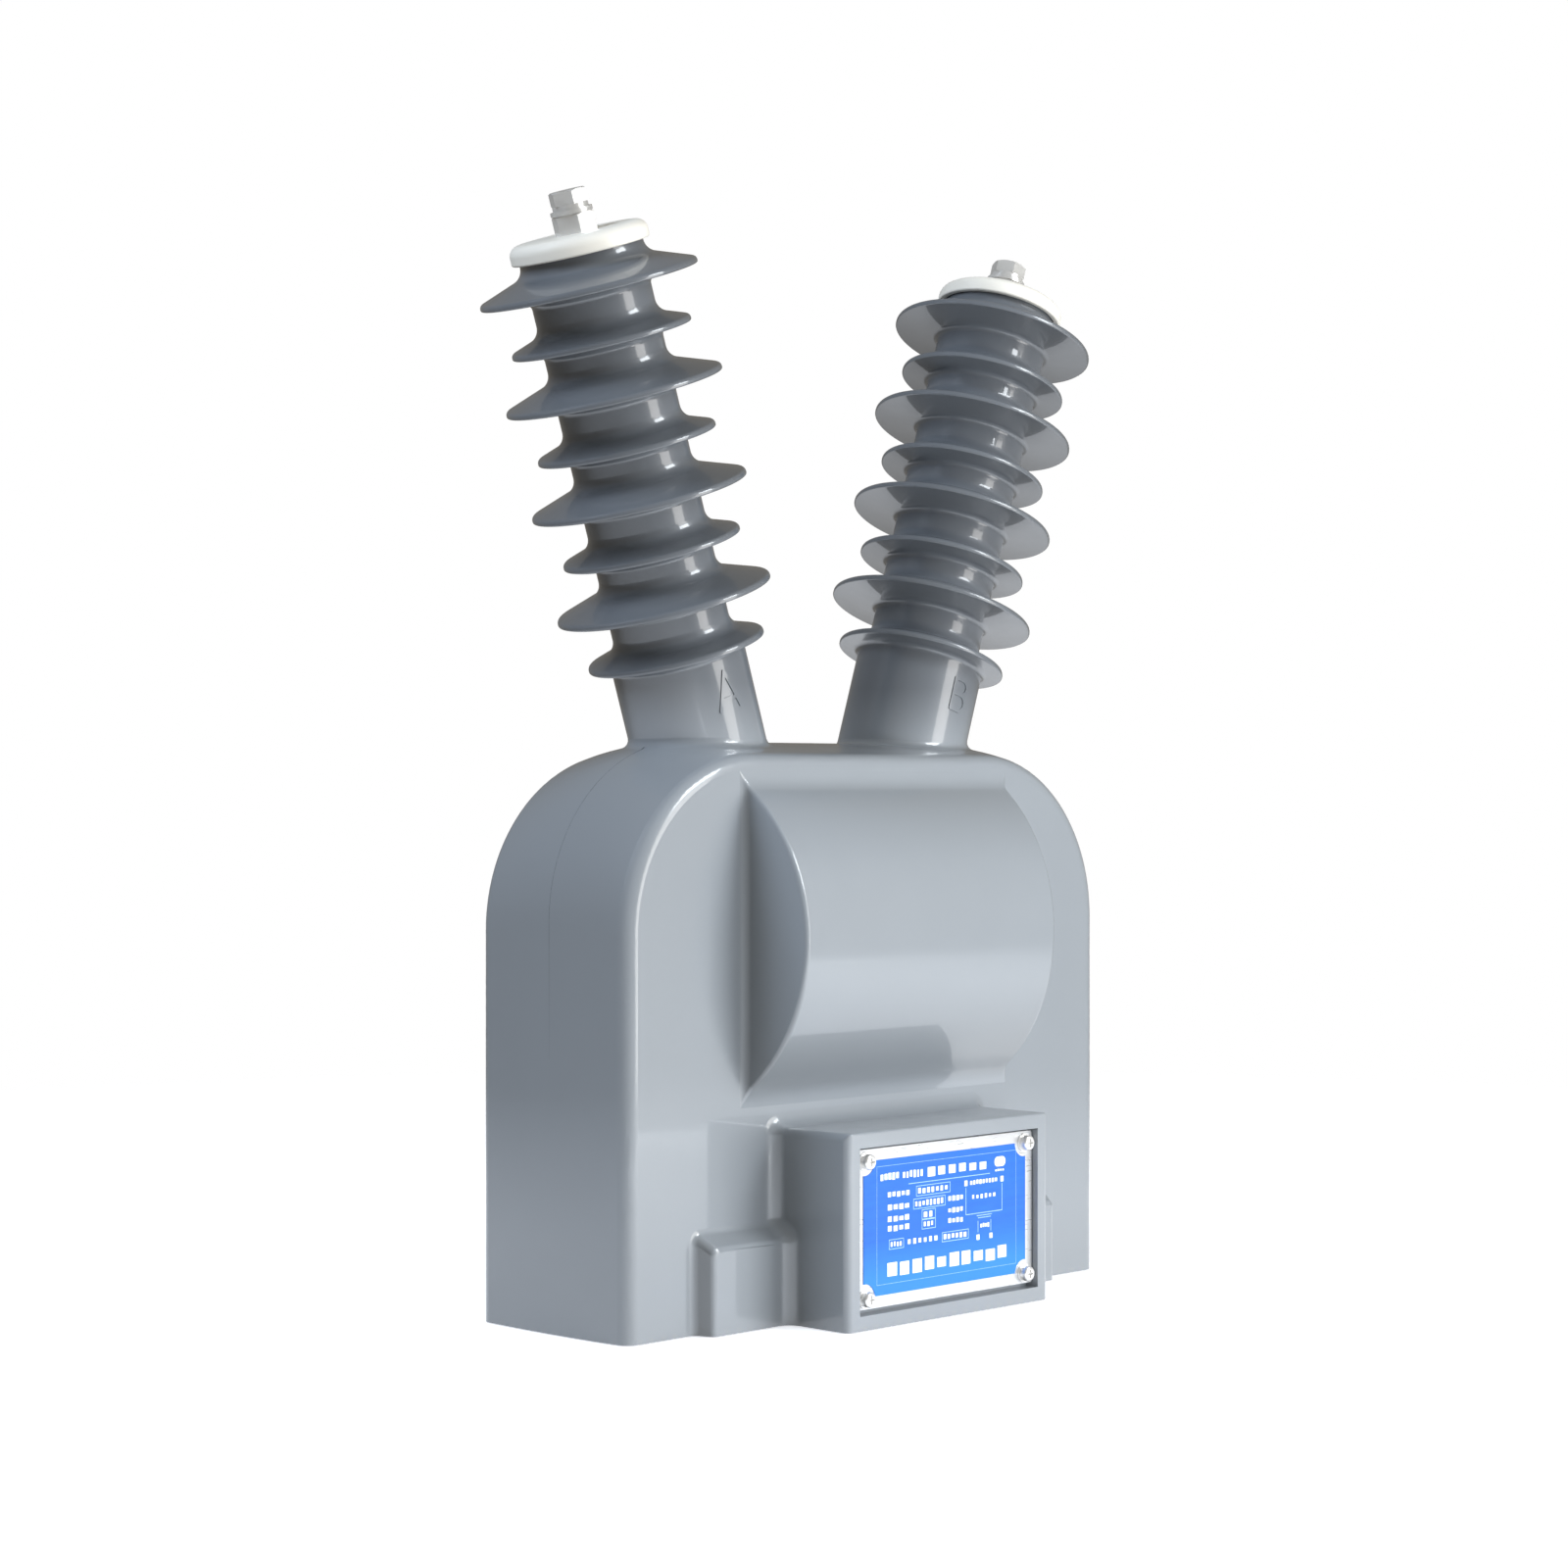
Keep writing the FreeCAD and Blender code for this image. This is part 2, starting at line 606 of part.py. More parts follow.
def make_lead(side):
    """The conductor from the winding to the insert, fitted to the round of the winding."""
    lead = on_bushing(rod(LEAD_R, LEAD_START, INSERT_BOTTOM + LEAD_SOCKET), side)
    return lead.cut(x_tube(PRIMARY[0], PRIMARY[1], PRIMARY[2]))


# Active part

def core_frame(grow, half_depth):
    """The core's outer block, grown by a margin, with round corners."""
    low = CORE_WINDOW_BOTTOM - CORE_SECTION - grow
    high = COIL_Z + CORE_SECTION / 2 + grow
    half = CORE_HALF_WIDTH + grow
    block = box((-half, half), (-half_depth, half_depth), (low, high))
    corners = edges_where(block, lambda b: b.YMax - b.YMin > 1)
    return block.makeFillet(CORE_OUTER_R + grow, corners)


def make_core_halves():
    """Two wound C halves, which meet in the middle of the leg and of the yoke."""
    half_window = CORE_HALF_WIDTH - CORE_SECTION
    window = box((-half_window, half_window), (-CORE_HALF_DEPTH, CORE_HALF_DEPTH),
                 (CORE_WINDOW_BOTTOM, COIL_Z - CORE_SECTION / 2))
    corners = edges_where(window, lambda b: b.YMax - b.YMin > 1)
    core = core_frame(0, CORE_HALF_DEPTH).cut(window.makeFillet(CORE_WINDOW_R, corners))
    reach = 2 * CORE_HALF_WIDTH
    left = core.common(box((-reach, 0), (-reach, reach), (0, 2 * reach)))
    right = core.common(box((0, reach), (-reach, reach), (0, 2 * reach)))
    return left, right


def make_core_band():
    return core_frame(BAND_THICKNESS, BAND_HALF_WIDTH).cut(core_frame(0, BAND_HALF_WIDTH))


def make_former():
    former = x_tube(*FORMER)
    flange_r, flange_thickness = FORMER_FLANGE
    for start in (-FORMER[2], FORMER[2] - flange_thickness):
        centre = Vector(start, 0, COIL_Z)
        flange = Part.makeCylinder(flange_r, flange_thickness, centre, Vector(1, 0, 0))
        flange = flange.cut(Part.makeCylinder(FORMER[0], flange_thickness, centre, Vector(1, 0, 0)))
        former = former.fuse(flange)
    return former


def make_primary_sections():
    """The high-voltage winding as separate discs along the coil."""
    r_in, r_out, half = PRIMARY
    width = (2 * half - (PRIMARY_SECTIONS - 1) * PRIMARY_GAP) / PRIMARY_SECTIONS
    sections = []
    for k in range(PRIMARY_SECTIONS):
        section = x_tube(r_in, r_out, width / 2)
        section.translate(Vector(-half + width / 2 + k * (width + PRIMARY_GAP), 0, 0))
        sections.append(section)
    return sections


def make_shield():
    """A conducting screen over the winding, slotted so that it is no shorted turn."""
    r_in, r_out, half = SHIELD
    slot = box((-half, half), (-SHIELD_SLOT / 2, SHIELD_SLOT / 2), (COIL_Z - r_out - 1, COIL_Z))
    return x_tube(r_in, r_out, half).cut(slot)


def make_base_inserts():
    inserts = []
    for x in (-BASE_BOLT_X, BASE_BOLT_X):
        for y in (-BASE_BOLT_Y, BASE_BOLT_Y):
            insert = rod(BASE_INSERT_R, 0, BASE_INSERT_LENGTH).cut(rod(BASE_HOLE_R, 0, BASE_HOLE_DEPTH))
            insert.translate(Vector(x, y, 0))
            inserts.append(insert)
    return inserts


# Low-voltage terminals. Heights along a stud are distances in front of y = 0.

BOARD_FRONT = BOARD_THICKNESS - CAVITY_BACK_Y
LOCK_NUT_TOP = BOARD_FRONT + NUT_HEIGHT
NUT_WASHER_TOP = LOCK_NUT_TOP + NUT_WASHER[2]


def make_board():
    board = box((-BOARD_HALF, BOARD_HALF), (-BOARD_FRONT, CAVITY_BACK_Y), (BOARD_BOTTOM, BOARD_TOP))
    for x, z in STUDS.values():
        board = board.cut(out_of_box(rod(STUD_R, 0, -STUD_TIP_Y), x, z))
    return board


def make_stud(name):
    root = -STUD_ROOT_Y
    stud = rod(STUD_R, root, -STUD_TIP_Y).fuse(rod(STUD_HEAD_R, root, root + STUD_HEAD_HEIGHT))
    return out_of_box(stud, *STUDS[name])


def make_nut(start, name):
    nut = hexagon(NUT_FLATS, start, start + NUT_HEIGHT).cut(rod(NUT_HOLE_R, start, start + NUT_HEIGHT))
    return out_of_box(nut, *STUDS[name])


def make_secondary_lead(name):
    """From one end of the secondary winding down beside the coil to the head of a stud."""
    x, z = STUDS[name]
    side = math.copysign(1, x)
    turn_x = side * SECONDARY_LEAD_X
    return wire_run([Vector(side * SECONDARY[2], SECONDARY_LEAD_Y, COIL_Z),
                     Vector(turn_x, SECONDARY_LEAD_Y, COIL_Z),
                     Vector(turn_x, SECONDARY_LEAD_Y, z),
                     Vector(x, SECONDARY_LEAD_Y, z),
                     Vector(x, STUD_ROOT_Y, z)])


def make_earth_lead():
    x, z = STUDS["earth"]
    return wire_run([Vector(x, -CORE_HALF_DEPTH, EARTH_LEAD_Z), Vector(x, EARTH_LEAD_Y, EARTH_LEAD_Z),
                     Vector(x, EARTH_LEAD_Y, z), Vector(x, STUD_ROOT_Y, z)])


def make_grommet():
    top = CAVITY_BOTTOM + GROMMET_FLANGE
    grommet = rod(GROMMET_R, GROMMET_RAISE, top).fuse(rod(GROMMET_FLANGE_R, CAVITY_BOTTOM, top))
    grommet = grommet.cut(rod(GROMMET_BORE_R, GROMMET_RAISE, top))
    grommet.translate(Vector(GROMMET_X, GROMMET_Y, 0))
    return grommet


def grommet_hole():
    hole = rod(GROMMET_R, -1, CAVITY_BOTTOM + 1)
    hole.translate(Vector(GROMMET_X, GROMMET_Y, 0))
    return hole


# Cover. Heights along a screw are distances in front of y = 0.

GASKET_FRONT = GASKET_THICKNESS - LEDGE_Y
COVER_FRONT = GASKET_FRONT + COVER_THICKNESS
SCREW_WASHER_TOP = COVER_FRONT + SCREW_WASHER[2]
SCREW_SPRING_TOP = SCREW_WASHER_TOP + SCREW_SPRING[2]
SCREWS = {"1": (-SCREW_X, SCREW_HIGH_Z), "2": (SCREW_X, SCREW_HIGH_Z),
          "3": (-SCREW_X, SCREW_LOW_Z), "4": (SCREW_X, SCREW_LOW_Z)}


def drilled(shape, radius):
    for x, z in SCREWS.values():
        shape = shape.cut(out_of_box(rod(radius, 0, 2 * COVER_FRONT), x, z))
    return shape


def make_cover():
    cover = box((-COVER_HALF, COVER_HALF), (-COVER_FRONT, -GASKET_FRONT), (COVER_BOTTOM, COVER_TOP))
    corners = edges_where(cover, lambda b: b.YMax - b.YMin > 1)
    return drilled(cover.makeFillet(COVER_CORNER_R, corners), SCREW_CLEARANCE_R)


def make_gasket():
    half = COVER_HALF - GASKET_INSET
    gasket = box((-half, half), (-GASKET_FRONT, LEDGE_Y),
                 (COVER_BOTTOM + GASKET_INSET, COVER_TOP - GASKET_INSET))
    opening = box((-GASKET_OPENING_HALF, GASKET_OPENING_HALF), (-GASKET_FRONT, LEDGE_Y),
                  (GASKET_OPENING_BOTTOM, GASKET_OPENING_TOP))
    return drilled(gasket.cut(opening), SCREW_CLEARANCE_R)


def make_label():
    front = COVER_FRONT + LABEL_THICKNESS
    label = box((-LABEL_HALF, LABEL_HALF), (-front, -COVER_FRONT), (LABEL_BOTTOM, LABEL_TOP))
    return drilled(label, LABEL_CORNER_CUT)


def make_screw(name):
    """A pan head screw with a cross recess."""
    head = SCREW_SPRING_TOP
    top = head + SCREW_HEAD_HEIGHT
    profile = [(0, head, 0), (SCREW_HEAD_R, head, 0), (SCREW_HEAD_R, top, SCREW_HEAD_HEIGHT / 2), (0, top, 0)]
    screw = turned(profile).fuse(rod(SCREW_R, head - SCREW_LENGTH, head))
    length, width, depth = SCREW_RECESS
    for size_x, size_y in ((length, width), (width, length)):
        screw = screw.cut(box((-size_x / 2, size_x / 2), (-size_y / 2, size_y / 2), (top - depth, top + 1)))
    return out_of_box(screw, *SCREWS[name])


def make_cover_insert(name):
    foot = -LEDGE_Y - COVER_INSERT_LENGTH
    insert = rod(COVER_INSERT_R, foot, -LEDGE_Y)
    return out_of_box(insert.cut(rod(SCREW_HOLE_R, foot + COVER_INSERT_FLOOR, -LEDGE_Y)), *SCREWS[name])


def main():
    os.makedirs(OUT, exist_ok=True)
    leads = {name: make_lead(side) for name, side in SIDES.items()}
    inserts = {name: on_bushing(make_insert(), side) for name, side in SIDES.items()}
    core_left, core_right = make_core_halves()
    winding_ends = [make_secondary_lead("1a"), make_secondary_lead("1b")]
    active_part = {
        "core_half_left": [core_left],
        "core_half_right": [core_right],
        "core_band": [make_core_band()],
        "winding_former": [make_former().cut(winding_ends)],
        "secondary_winding": [x_tube(*SECONDARY)],
        "insulation_barrier": [x_tube(*BARRIER)],
        "primary_winding": make_primary_sections(),
        "winding_shield": [make_shield()],
        "secondary_lead_1a": [winding_ends[0]],
        "secondary_lead_1b": [winding_ends[1]],
        "core_earth_lead": [make_earth_lead()],
        "base_inserts": make_base_inserts(),
        "cover_inserts": [make_cover_insert(name) for name in SCREWS],
        "secondary_studs": [make_stud("1a"), make_stud("1b")],
        "earth_stud": [make_stud("earth")],
    }
    for node, solids in active_part.items():
        save(node, *solids)

    embedded = [solid for solids in active_part.values() for solid in solids]
    casting = make_casting().cut(embedded + list(leads.values()) + [grommet_hole()])
    save("resin_body", largest_solid(casting))

    for name, side in SIDES.items():
        bushing = on_bushing(make_bushing(), side).cut([leads[name], inserts[name]])
        save("resin_bushing_" + name, largest_solid(bushing))
        save("hv_lead_" + name, leads[name])
        save("hv_insert_" + name, inserts[name])
        save("terminal_cap_" + name, on_bushing(make_cap(), side))
        save("hv_flat_washer_" + name, on_bushing(washer(BOLT_WASHER, HEX_TOP), side))
        save("hv_spring_washer_" + name, on_bushing(spring_washer(BOLT_SPRING, WASHER_TOP), side))
        save("hv_bolt_" + name, on_bushing(make_bolt(), side))

    save("terminal_board", make_board())
    save("stud_lock_nuts", *[make_nut(BOARD_FRONT, name) for name in STUDS])
    for name, place in STUDS.items():
        save("terminal_washer_" + name, out_of_box(washer(NUT_WASHER, LOCK_NUT_TOP), *place))
        save("terminal_nut_" + name, make_nut(NUT_WASHER_TOP, name))
    save("cable_grommet", make_grommet())

    save("cover_plate", make_cover())
    save("cover_gasket", make_gasket())
    save("rating_label", make_label())
    for name, place in SCREWS.items():
        save("cover_flat_washer_" + name, out_of_box(washer(SCREW_WASHER, COVER_FRONT), *place))
        save("cover_spring_washer_" + name, out_of_box(spring_washer(SCREW_SPRING, SCREW_WASHER_TOP), *place))
        save("cover_screw_" + name, make_screw(name))


main()
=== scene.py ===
import math
import random

import bpy
import bmesh
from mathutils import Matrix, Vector
from mathutils.bvhtree import BVHTree


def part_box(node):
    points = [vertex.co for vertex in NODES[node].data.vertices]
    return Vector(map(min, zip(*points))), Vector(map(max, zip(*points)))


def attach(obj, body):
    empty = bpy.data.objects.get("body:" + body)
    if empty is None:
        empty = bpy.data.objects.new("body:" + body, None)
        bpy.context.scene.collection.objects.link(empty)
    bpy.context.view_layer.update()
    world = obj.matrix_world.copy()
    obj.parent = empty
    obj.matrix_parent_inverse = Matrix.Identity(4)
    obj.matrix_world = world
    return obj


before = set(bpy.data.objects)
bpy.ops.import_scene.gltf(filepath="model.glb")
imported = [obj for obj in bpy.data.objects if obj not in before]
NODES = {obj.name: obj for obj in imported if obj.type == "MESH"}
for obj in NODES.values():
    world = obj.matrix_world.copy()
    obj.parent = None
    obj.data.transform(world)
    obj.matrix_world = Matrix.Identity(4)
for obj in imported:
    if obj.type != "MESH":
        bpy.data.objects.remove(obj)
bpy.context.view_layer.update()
MM = 0.001

# Heights above the base, in metres: where painted shade darkens the casting's colour upwards, and where the
# label's colour changes.
RESIN_PAINTED_SHADE = (0.270, 0.302)
LABEL_LIGHTENS = (0.022, 0.040)

# The part of a noise's range that holds nearly all of its values.
NOISE_MIDDLE = (0.3, 0.7)


# ---------------------------------------------------------------- node helpers

class Tree:
    """A material's node tree around one Principled shader, with short calls for the nodes used here."""

    def __init__(self, name, **sockets):
        self.material = bpy.data.materials.new(name)
        self.material.use_nodes = True
        self.nodes = self.material.node_tree.nodes
        self.links = self.material.node_tree.links
        self.shader = next(n for n in self.nodes if n.type == "BSDF_PRINCIPLED")
        self.place = self.nodes.new("ShaderNodeTexCoord").outputs["Object"]
        self.set(self.shader, **sockets)

    def set(self, node, **sockets):
        """Puts values on a node's sockets, or links them where the value is another node's output.

        A socket is given by its name with _ for each space, or by _ and its number.
        """
        for key, value in sockets.items():
            socket = node.inputs[int(key[1:])] if key[1:].isdigit() else node.inputs[key.replace("_", " ")]
            if isinstance(value, bpy.types.NodeSocket):
                self.links.new(value, socket)
            elif socket.type == "RGBA" and len(value) == 3:
                socket.default_value = (*value, 1.0)
            else:
                socket.default_value = value

    def add(self, kind, output=0, settings=(), **sockets):
        """Adds a node and gives back one of its outputs."""
        node = self.nodes.new("ShaderNode" + kind)
        for name, value in dict(settings).items():
            setattr(node, name, value)
        self.set(node, **sockets)
        return node.outputs[output]

    def noise(self, scale, detail=2.0, roughness=0.5, at=None):
        place = at or self.place
        return self.add("TexNoise", Vector=place, Scale=scale, Detail=detail, Roughness=roughness)

    def math(self, operation, *terms):
        sockets = {f"_{i}": term for i, term in enumerate(terms)}
        return self.add("Math", settings={"operation": operation}, **sockets)

    def map(self, value, low, high, from_low=0.0, from_high=1.0):
        """A number that runs from low to high as the value runs from from_low to from_high."""
        given = {"From_Min": from_low, "From_Max": from_high, "To_Min": low, "To_Max": high}
        return self.add("MapRange", Value=value, **given)

    def spread(self, value, low=NOISE_MIDDLE[0], high=NOISE_MIDDLE[1]):
        """A factor that runs from 0 to 1 as the value runs from low to high."""
        return self.map(value, 0.0, 1.0, low, high)

    def between(self, factor, first, second):
        """A colour that runs from first to second as factor runs from 0 to 1."""
        node = self.nodes.new("ShaderNodeMix")
        node.data_type = "RGBA"
        self.set(node, _0=factor, _6=first, _7=second)
        return node.outputs[2]

    def bump(self, height, strength, distance, under=None):
        """A bump in the shading, on top of the one given as under."""
        sockets = {} if under is None else {"Normal": under}
        return self.add("Bump", Height=height, Strength=strength, Distance=distance, **sockets)

    def stretched(self, x, y, z):
        """Object coordinates scaled by x, y and z, for grain that runs one way."""
        return self.add("Mapping", Vector=self.place, Scale=(x, y, z))

    def height(self):
        """The height above the base."""
        return self.add("SeparateXYZ", 2, Vector=self.place)


# ------------------------------------------------------------------ materials

def cast_resin():
    """Glossy grey casting resin: slow waves from the mould, faint clouding, fine pores and a clear skin.

    Painted shade: the colour darkens upwards over the necks to a much darker tone on the bushings above them,
    standing in for light that falls off with height.
    """
    t = Tree("cast_resin", Coat_Weight=0.9, Coat_Roughness=0.045, Coat_IOR=1.5, IOR=1.5)
    cloud = t.noise(9.0, 3.0, 0.55)
    grain = t.noise(1400.0, 2.0, 0.6)
    body = t.between(t.spread(cloud), (0.238, 0.258, 0.280), (0.246, 0.267, 0.290))
    body = t.between(t.map(grain, 0.0, 0.25, 0.35, 0.75), body, (0.226, 0.246, 0.268))
    # painted shade: the darker tone that stands in for the light falling off above the necks
    painted_shade_tone = t.between(cloud, (0.120, 0.131, 0.146), (0.132, 0.144, 0.160))
    waves = t.bump(t.noise(14.0, 1.0, 0.4), 0.03, 4.0 * MM)
    pores = t.bump(t.noise(520.0, 2.0, 0.5), 0.02, 0.4 * MM, under=waves)
    t.set(
        t.shader,
        # the colour turns to the painted-shade tone between the two heights
        Base_Color=t.between(t.spread(t.height(), *RESIN_PAINTED_SHADE), body, painted_shade_tone),
        Roughness=t.map(t.noise(60.0, 3.0, 0.6), 0.30, 0.36, *NOISE_MIDDLE),
        Normal=pores,
        Coat_Normal=waves,
    )
    return t.material


def flash_painted_shade():
    """The thin web of resin that squeezed out where the mould's halves met, coloured far darker than the
    casting: painted shade for the shadow along the parting line.
    """
    t = Tree("flash_painted_shade", Coat_Weight=0.3, Coat_Roughness=0.1, IOR=1.5)
    spots = t.noise(700.0, 2.0, 0.6)
    t.set(
        t.shader,
        # painted shade: the flash is coloured much darker than the casting it is made of
        Base_Color=t.between(t.spread(spots), (0.090, 0.098, 0.108), (0.150, 0.160, 0.172)),
        Roughness=t.map(spots, 0.3, 0.5),
    )
    return t.material


def metal(name, light, dark, rough, grain, grain_bump, blotch, metallic=1.0):
    """Bare or plated metal: cloudy plating, grain drawn out one way, and gloss that follows the grain."""
    t = Tree(name, Metallic=metallic)
    lines = t.noise(1.0, 3.0, 0.65, at=t.stretched(*grain))
    patches = t.noise(blotch, 3.0, 0.6)
    mix = t.math("MULTIPLY_ADD", patches, 0.7, t.math("MULTIPLY", lines, 0.3))
    t.set(
        t.shader,
        Base_Color=t.between(t.spread(mix), dark, light),
        Roughness=t.map(lines, *rough, *NOISE_MIDDLE),
        Normal=t.bump(lines, grain_bump, 0.2 * MM),
    )
    return t.material


def enamelled_copper(name, light, dark, pitch):
    """Copper wire under varnish, wound side by side at the given pitch up the height, with painted shade
    darkening the groove between turns.
    """
    t = Tree(name, Metallic=1.0, Coat_Weight=0.5, Coat_Roughness=0.2)
    turn = t.math("PINGPONG", t.height(), 0.5 * pitch)
    ridge = t.spread(turn, 0.0, 0.5 * pitch)
    shade = t.noise(140.0, 3.0, 0.6)
    tone = t.between(t.spread(shade), dark, light)
    t.set(
        t.shader,
        # painted shade: the colour runs to the dark tone in the groove between turns
        Base_Color=t.between(t.map(ridge, 0.55, 0.0, 0.0, 0.5), tone, dark),
        Roughness=t.map(shade, 0.25, 0.4),
        Normal=t.bump(ridge, 0.4, 0.5 * pitch),
    )
    return t.material


def laminated_steel():
    """Edges of wound steel strip: thin parallel lines with a few darker layers and brown stains."""
    t = Tree("core_steel", Metallic=1.0)
    layers = t.noise(1.0, 2.0, 0.7, at=t.stretched(60.0, 5200.0, 60.0))
    stain = t.noise(40.0, 3.0, 0.6)
    tone = t.between(t.spread(layers, 0.35, 0.65), (0.19, 0.20, 0.22), (0.46, 0.47, 0.49))
    t.set(
        t.shader,
        Base_Color=t.between(t.map(stain, 0.0, 0.5, 0.4, 0.8), tone, (0.20, 0.17, 0.14)),
        Roughness=t.map(layers, 0.35, 0.55),
        Normal=t.bump(layers, 0.3, 0.2 * MM),
    )
    return t.material


def moulded(name, light, dark, rough, grain=600.0, strength=0.06):
    """Moulded plastic or rubber: a fine skin grain, slow colour drift and uneven gloss."""
    t = Tree(name)
    drift = t.noise(26.0, 3.0, 0.6)
    skin = t.noise(grain, 3.0, 0.6)
    t.set(
        t.shader,
        Base_Color=t.between(t.spread(drift), dark, light),
        Roughness=t.map(skin, *rough, *NOISE_MIDDLE),
        Normal=t.bump(skin, strength, 0.4 * MM),
    )
    return t.material


def fibre_board():
    """Pressed paper board: a mesh of long fibres and warm flecks."""
    t = Tree("insulation")
    fibres = t.noise(1.0, 4.0, 0.7, at=t.stretched(900.0, 900.0, 240.0))
    flecks = t.noise(320.0, 4.0, 0.7)
    tone = t.between(t.spread(fibres), (0.62, 0.50, 0.32), (0.78, 0.68, 0.48))
    t.set(
        t.shader,
        Base_Color=t.between(t.map(flecks, 0.0, 0.6, 0.55, 0.75), tone, (0.45, 0.32, 0.18)),
        Roughness=t.map(fibres, 0.65, 0.85),
        Normal=t.bump(fibres, 0.25, 0.3 * MM),
    )
    return t.material


def label_enamel():
    """Blue printed foil under a clear film: slight streaks, fine dots, and a lighter foot."""
    t = Tree("label_blue", Coat_Weight=0.4, Coat_Roughness=0.08, Roughness=0.45, Specular_IOR_Level=0.3)
    streak = t.noise(1.0, 3.0, 0.6, at=t.stretched(40.0, 40.0, 420.0))
    dots = t.noise(2600.0, 1.0, 0.5)
    tone = t.between(t.spread(streak), (0.005, 0.108, 0.530), (0.007, 0.125, 0.580))
    tone = t.between(t.map(t.height(), 1.0, 0.0, *LABEL_LIGHTENS), tone, (0.018, 0.200, 0.680))
    t.set(
        t.shader,
        Base_Color=t.between(t.map(dots, 0.0, 0.2, 0.45, 0.75), tone, (0.020, 0.180, 0.680)),
        Normal=t.bump(dots, 0.04, 0.1 * MM),
    )
    return t.material


def print_ink(name, light, dark):
    """Screen-printed ink: nearly even, thinner here and there so that the blue shows through a little."""
    t = Tree(name, Coat_Weight=0.8, Coat_Roughness=0.08)
    cover = t.noise(900.0, 3.0, 0.6)
    t.set(
        t.shader,
        Base_Color=t.between(t.spread(cover, 0.3, 0.6), dark, light),
        Roughness=t.map(cover, 0.30, 0.45),
    )
    return t.material


def studio_floor():
    """White paper that fades out into the backdrop well behind the object, so that no horizon shows."""
    fade_starts, fade_ends = 0.45, 1.3
    t = Tree("studio_floor", Specular_IOR_Level=0.1, Roughness=0.8, Emission_Strength=0.63)
    mottle = t.noise(3.0, 3.0, 0.5)
    t.set(
        t.shader,
        Base_Color=t.between(mottle, (0.88, 0.885, 0.89), (0.90, 0.905, 0.91)),
        Emission_Color=(0.93, 0.95, 1.0),
    )
    radius = t.add("VectorMath", 1, {"operation": "LENGTH"}, _0=t.place)
    clear = t.add("BsdfTransparent")
    fade = t.add("MixShader", _0=t.spread(radius, fade_starts, fade_ends), _1=t.shader.outputs[0], _2=clear)
    t.set(next(n for n in t.nodes if n.type == "OUTPUT_MATERIAL"), Surface=fade)
    return t.material


def finishes():
    """Every material slot of the record, with its finish."""
    return {
        "cast_resin": cast_resin(),
        "cap_metal": metal("cap_metal", (0.84, 0.81, 0.74), (0.80, 0.77, 0.70), (0.36, 0.44),
                           (420.0, 420.0, 2400.0), 0.01, 30.0, 0.1),
        "bright_steel": metal("bright_steel", (0.88, 0.87, 0.85), (0.80, 0.79, 0.77), (0.20, 0.27),
                              (50.0, 50.0, 160.0), 0.002, 60.0, 0.6),
        "terminal_brass": metal("terminal_brass", (0.80, 0.64, 0.32), (0.60, 0.44, 0.20), (0.22, 0.34),
                                (900.0, 2400.0, 900.0), 0.08, 80.0),
        "tinned_brass": metal("tinned_brass", (0.88, 0.87, 0.85), (0.82, 0.81, 0.79), (0.22, 0.28),
                              (50.0, 50.0, 160.0), 0.002, 60.0, 0.6),
        "core_steel": laminated_steel(),
        "band_steel": metal("band_steel", (0.62, 0.63, 0.65), (0.46, 0.47, 0.49), (0.25, 0.40),
                            (1800.0, 200.0, 1800.0), 0.10, 40.0),
        "copper_wire": enamelled_copper("copper_wire", (0.74, 0.36, 0.18), (0.42, 0.17, 0.08), 1.2 * MM),
        "insulation": fibre_board(),
        "former_plastic": moulded("former_plastic", (0.84, 0.82, 0.74), (0.76, 0.73, 0.64), (0.40, 0.55)),
        "board_plastic": moulded("board_plastic", (0.030, 0.030, 0.033), (0.018, 0.018, 0.020), (0.30, 0.45),
                                 700.0),
        "seal_rubber": moulded("seal_rubber", (0.030, 0.030, 0.030), (0.016, 0.016, 0.016), (0.55, 0.75),
                               900.0, 0.12),
        "plate_metal": metal("plate_metal", (0.72, 0.725, 0.73), (0.67, 0.675, 0.68), (0.26, 0.34),
                             (60.0, 60.0, 1200.0), 0.015, 30.0, 0.6),
        "label_blue": label_enamel(),
        "screen_foil": metal("screen_foil", (0.74, 0.75, 0.77), (0.60, 0.61, 0.63), (0.20, 0.35),
                             (300.0, 300.0, 300.0), 0.15, 60.0),
    }


def dress_nodes(paint):
    """Gives each CAD node the finish of its own material slot."""
    for node in NODES.values():
        for spot in node.material_slots:
            spot.material = paint[spot.material.name.split(".")[0]]


# ------------------------------------------------------------- mesh helpers

def new_piece(name, mesh, material, body):
    mesh.name = name
    piece = bpy.data.objects.new(name, mesh)
    bpy.context.scene.collection.objects.link(piece)
    mesh.materials.append(material)
    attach(piece, body)


def mesh_from(build):
    """A mesh made by a bmesh function, with outward normals."""
    work = bmesh.new()
    build(work)
    bmesh.ops.recalc_face_normals(work, faces=work.faces)
    mesh = bpy.data.meshes.new("piece")
    work.to_mesh(mesh)
    work.free()
    return mesh


def join_rings(work, rings):
    """Walls between each ring of vertices and the next, with the first and the last ring closed."""
    for first, second in zip(rings, rings[1:]):
        for i in range(len(first)):
            j = (i + 1) % len(first)
            work.faces.new((first[i], first[j], second[j], second[i]))
    work.faces.new(rings[0])
    work.faces.new(rings[-1][::-1])


def plate(work, outline, y_back, y_front):
    """A flat plate between two depths, with the given outline of (x, z) points."""
    join_rings(work, [[work.verts.new((x, y, z)) for x, z in outline] for y in (y_back, y_front)])


